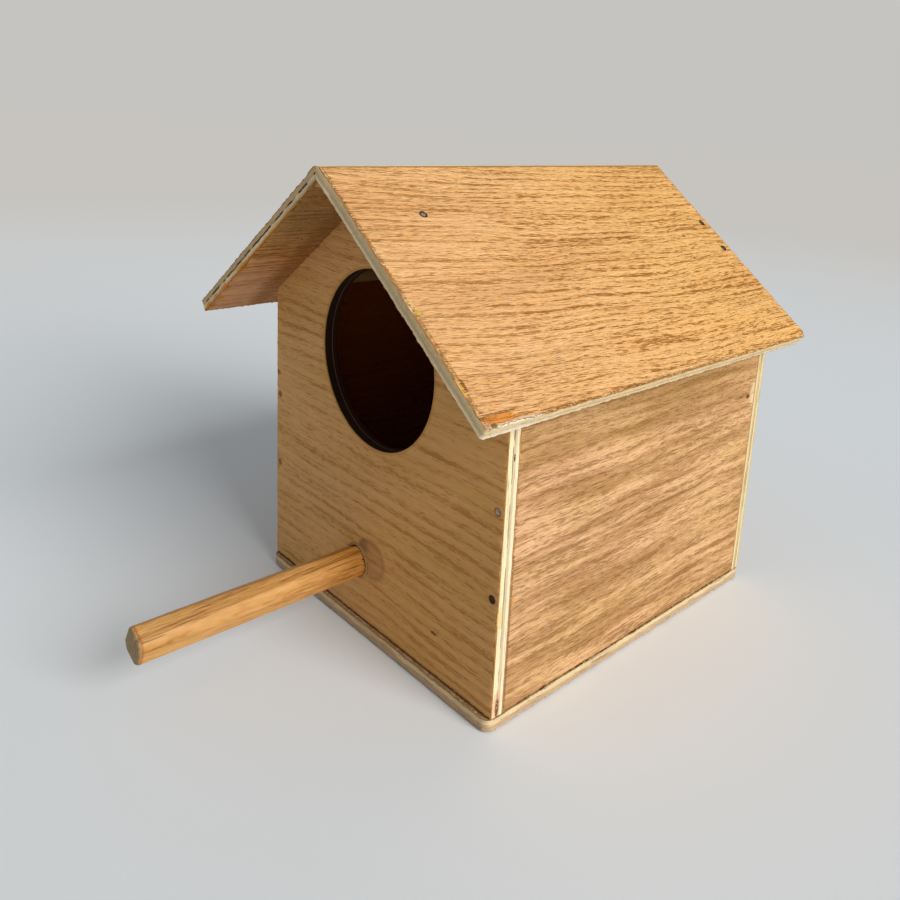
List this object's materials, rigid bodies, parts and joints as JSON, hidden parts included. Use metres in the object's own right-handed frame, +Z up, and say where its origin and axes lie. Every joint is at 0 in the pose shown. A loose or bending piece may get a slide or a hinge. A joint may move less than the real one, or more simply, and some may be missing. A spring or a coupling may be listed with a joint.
{
  "type": "nest box",
  "caption": "Plywood nest box for small birds: box body on a base panel, steep gabled roof, large round entrance and a long perch.",
  "frame": {"origin": "centre of the base panel's underside", "axes": "+X across the front to the right as seen from the front, +Y from the front to the back, +Z up; the entrance faces -Y"},
  "size_m": [0.1856, 0.26, 0.1951],
  "materials": {
    "ply_base": "bare plywood with an oak face, edges showing pale plies",
    "ply_front": "bare plywood with an oak face, grain across the front",
    "ply_back": "bare plywood with an oak face, grain across the back",
    "ply_side_left": "bare plywood with an oak face, grain from front to back",
    "ply_side_right": "bare plywood with an oak face, grain from front to back",
    "ply_roof_left": "bare plywood with an oak face, grain along the ridge",
    "ply_roof_right": "bare plywood with an oak face, grain along the ridge",
    "perch_wood": "bare whittled dowel with cracks along the grain",
    "wood_glue": "dried amber glue",
    "nail_steel": "dull steel"
  },
  "bodies": {
    "root": {"base_panel": "ply_base", "front_wall": "ply_front", "back_wall": "ply_back", "left_wall": "ply_side_left", "right_wall": "ply_side_right", "roof_left": "ply_roof_left", "roof_right": "ply_roof_right", "perch": "perch_wood", "perch_glue": "wood_glue", "ridge_glue": "wood_glue", "front_left_nails": "nail_steel", "front_right_nails": "nail_steel", "back_left_nails": "nail_steel", "back_right_nails": "nail_steel", "roof_left_front_nail": "nail_steel", "roof_left_back_nails": "nail_steel", "roof_right_front_nail": "nail_steel", "roof_right_back_nails": "nail_steel", "base_front_nails": "nail_steel", "base_back_nails": "nail_steel", "base_side_nails": "nail_steel"}
  },
  "joints": []
}
